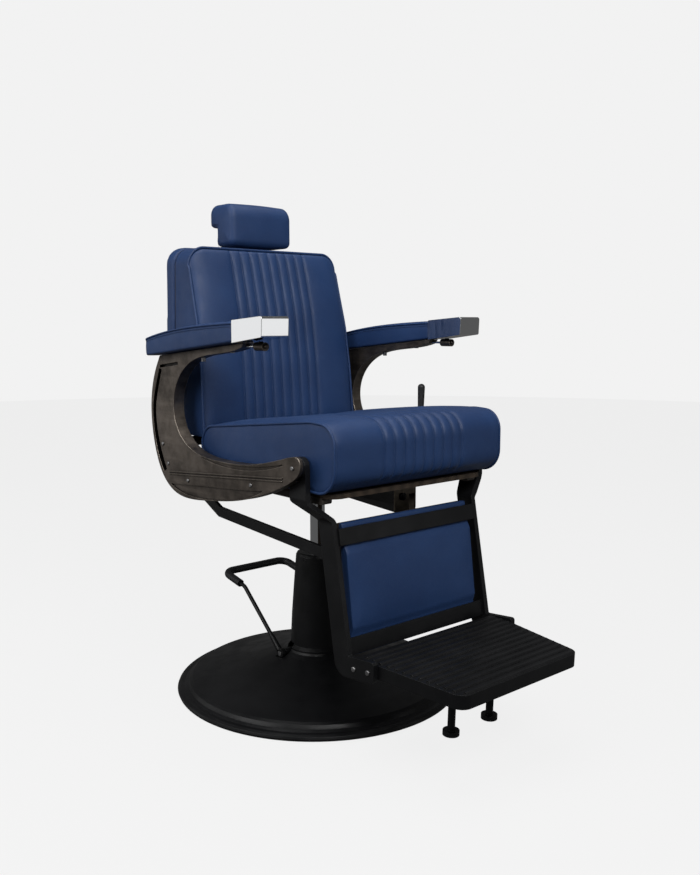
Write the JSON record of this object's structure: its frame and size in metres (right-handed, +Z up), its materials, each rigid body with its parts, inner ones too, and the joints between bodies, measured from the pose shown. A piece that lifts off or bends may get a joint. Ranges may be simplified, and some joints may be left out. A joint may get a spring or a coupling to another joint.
{
  "type": "hydraulic barber chair",
  "caption": "Barber chair on a round hydraulic base, with channelled leather seat and reclining back, cast arms, linked footrest and sliding headrest.",
  "frame": {"origin": "centre of the round base, on the floor", "axes": "+Z up; -Y the way the sitter faces; +X to the sitter's left"},
  "size_m": [0.69, 0.9868, 1.184],
  "materials": {
    "black_steel": "satin black powder coat",
    "frame_steel": "satin grey-brown paint",
    "raw_steel": "bright zinc",
    "zinc_steel": "warm zinc plate",
    "black_cylinder": "gloss black",
    "chrome": "polished",
    "bronze_casting": "dark bronze anodised casting, bright edges",
    "navy_leather": "satin navy leather",
    "foam": "cut polyurethane foam",
    "plywood": "unfinished ply",
    "black_rubber": "matt rubber"
  },
  "bodies": {
    "base": {"base_dome": "black_steel", "base_plate": "raw_steel", "column_cover": "black_steel", "pump_cylinder": "raw_steel", "pump_axle_carrier": "black_steel", "pump_bolts": "raw_steel", "column_screws": "raw_steel"},
    "pump_lever": {"pump_axle": "raw_steel", "pump_lever_rod": "black_steel", "pump_grip": "black_rubber"},
    "lift": {"lift_ram": "chrome"},
    "seat": {"left_seat_rail": "frame_steel", "right_seat_rail": "frame_steel", "seat_crossbars": "frame_steel", "swivel_saddle": "black_steel", "seat_board": "plywood", "seat_cushion": "navy_leather", "seat_foam": "foam", "left_arm_casting": "bronze_casting", "right_arm_casting": "bronze_casting", "hinge_pins": "raw_steel", "left_arm_pad": "navy_leather", "right_arm_pad": "navy_leather", "left_arm_cap": "chrome", "right_arm_cap": "chrome", "arm_knob_stems": "chrome", "arm_knobs": "bronze_casting", "arm_screws": "raw_steel", "lock_bracket": "zinc_steel", "lock_cylinder": "black_cylinder", "lever_bracket": "black_steel"},
    "recline_lever": {"recline_lever": "black_steel", "recline_grip": "black_rubber"},
    "lock_rod": {"lock_rod": "raw_steel"},
    "backrest": {"back_board": "plywood", "back_cushion": "navy_leather", "back_foam": "foam", "back_rear_panel": "navy_leather", "left_back_crank": "black_steel", "right_back_crank": "black_steel", "back_frame": "black_steel", "rear_link_pins": "raw_steel", "lock_crank": "black_steel", "headrest_track": "black_steel"},
    "headrest": {"headrest_plate": "chrome", "headrest_cushion": "navy_leather", "headrest_screws": "raw_steel"},
    "footrest": {"left_footrest_bar": "black_steel", "right_footrest_bar": "black_steel", "footrest_upper_strap": "black_steel", "footrest_lower_strap": "black_steel", "calf_board": "plywood", "calf_pad": "navy_leather", "footplate": "black_steel", "footrest_bolts": "raw_steel", "front_link_pins": "raw_steel"},
    "left_tip_foot": {"left_tip_foot": "black_steel"},
    "right_tip_foot": {"right_tip_foot": "black_steel"},
    "left_link": {"left_link_bar": "black_steel"},
    "right_link": {"right_link_bar": "black_steel"}
  },
  "joints": [
    {"name": "lift", "type": "slide", "parent": "base", "child": "lift", "axis": [0, 0, 1], "range_m": [0, 0.15]},
    {"name": "swivel", "type": "hinge", "parent": "lift", "child": "seat", "pos_m": [0, 0, 0.505], "axis": [0, 0, 1], "continuous": true},
    {"name": "recline", "type": "hinge", "parent": "seat", "child": "backrest", "pos_m": [0, 0.234, 0.667], "axis": [-1, 0, 0], "range_deg": [0, 30]},
    {"name": "footrest_swing", "type": "hinge", "parent": "seat", "child": "footrest", "pos_m": [0, -0.271, 0.599], "axis": [-1, 0, 0], "range_deg": [0, 30]},
    {"name": "left_link_pivot", "type": "hinge", "parent": "footrest", "child": "left_link", "pos_m": [0.1975, -0.295, 0.41], "axis": [-1, 0, 0], "range_deg": [-30, 0]},
    {"name": "right_link_pivot", "type": "hinge", "parent": "footrest", "child": "right_link", "pos_m": [-0.1975, -0.295, 0.41], "axis": [-1, 0, 0], "range_deg": [-30, 0]},
    {"name": "lock_rod_slide", "type": "slide", "parent": "seat", "child": "lock_rod", "axis": [0, -1, 0], "range_m": [0, 0.09835]},
    {"name": "headrest_height", "type": "slide", "parent": "backrest", "child": "headrest", "axis": [0, 0, 1], "range_m": [0, 0.08]},
    {"name": "pump", "type": "hinge", "parent": "base", "child": "pump_lever", "pos_m": [0, 0.025, 0.087], "axis": [-1, 0, 0], "range_deg": [0, 22], "stiffness_Nm_per_rad": 20, "springref_deg": -14.32},
    {"name": "recline_release", "type": "hinge", "parent": "seat", "child": "recline_lever", "pos_m": [0.256, -0.092, 0.499], "axis": [-1, 0, 0], "range_deg": [0, 18], "stiffness_Nm_per_rad": 3, "springref_deg": -17.19},
    {"name": "left_tip_foot_height", "type": "slide", "parent": "footrest", "child": "left_tip_foot", "axis": [0, 0.0384, -0.9993], "range_m": [-0.008, 0.01]},
    {"name": "right_tip_foot_height", "type": "slide", "parent": "footrest", "child": "right_tip_foot", "axis": [0, 0.0384, -0.9993], "range_m": [-0.008, 0.01]}
  ],
  "couplings": [
    {"joint": "footrest_swing", "follows": "recline", "ratio": 1},
    {"joint": "left_link_pivot", "follows": "recline", "ratio": -1},
    {"joint": "right_link_pivot", "follows": "recline", "ratio": -1},
    {"joint": "lock_rod_slide", "follows": "recline", "m_per_rad": 0.18784}
  ]
}
